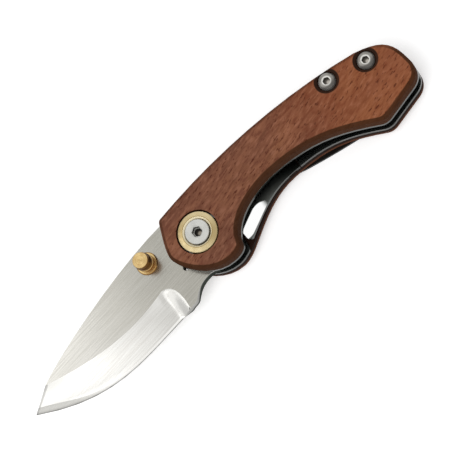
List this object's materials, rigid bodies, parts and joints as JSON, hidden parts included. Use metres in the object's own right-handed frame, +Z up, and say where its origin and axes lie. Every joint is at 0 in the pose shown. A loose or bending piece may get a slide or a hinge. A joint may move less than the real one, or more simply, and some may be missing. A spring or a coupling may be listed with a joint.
{
  "type": "folding pocket knife",
  "caption": "Open folding pocket knife with a wide drop-point blade, reddish-brown wood scales, liner lock, brass pivot ring, button head screws and a black pocket clip",
  "frame": {"origin": "The middle of the underside of the whole open knife: half way along its length, half way across its width, on the surface it lies on.", "axes": "+X runs along the handle from the blade tip to the butt, +Y towards the spine of blade and handle, and +Z up, away from the pocket clip, through the thumb stud side."},
  "size_m": [0.1588, 0.0308, 0.0181],
  "materials": {
    "wood": "fine-grained reddish-brown hardwood, oiled, softly rounded edges",
    "blade_steel": "satin flats with a brighter ground bevel",
    "liner_steel": "polished sheet steel",
    "screw_steel": "satin stainless steel",
    "pivot_steel": "fine matt steel",
    "brass": "turned satin brass",
    "bronze": "phosphor bronze washer",
    "black_steel": "black coated spring steel"
  },
  "bodies": {
    "handle": {"front_scale": "wood", "back_scale": "wood", "front_liner": "liner_steel", "back_liner": "liner_steel", "front_pivot_ring": "brass", "back_pivot_ring": "brass", "front_washer": "bronze", "back_washer": "bronze", "pivot_screw": "pivot_steel", "pivot_barrel": "pivot_steel", "stop_pin": "screw_steel", "backspacer": "liner_steel", "body_screw_1": "screw_steel", "body_nut_1": "screw_steel", "body_screw_2": "screw_steel", "body_nut_2": "screw_steel", "pocket_clip": "black_steel", "clip_screw_1": "screw_steel", "clip_screw_2": "screw_steel"},
    "blade": {"blade": "blade_steel", "thumb_stud": "brass"},
    "lock_bar": {"lock_bar": "liner_steel"}
  },
  "joints": [
    {"name": "blade_pivot", "type": "hinge", "parent": "handle", "child": "blade", "pos_m": [-0.00245, 0.00134, 0.0104], "axis": [0, 0, 1], "range_deg": [0, 169]},
    {"name": "lock_bar_flex", "type": "hinge", "parent": "handle", "child": "lock_bar", "pos_m": [0.03355, 0.00134, 0.008], "axis": [0, -1, 0], "range_deg": [0, 3.42], "deforming": ["lock_bar"]}
  ],
  "couplings": [
    {"joint": "lock_bar_flex", "follows": "blade_pivot", "ratio": 0.020235}
  ]
}
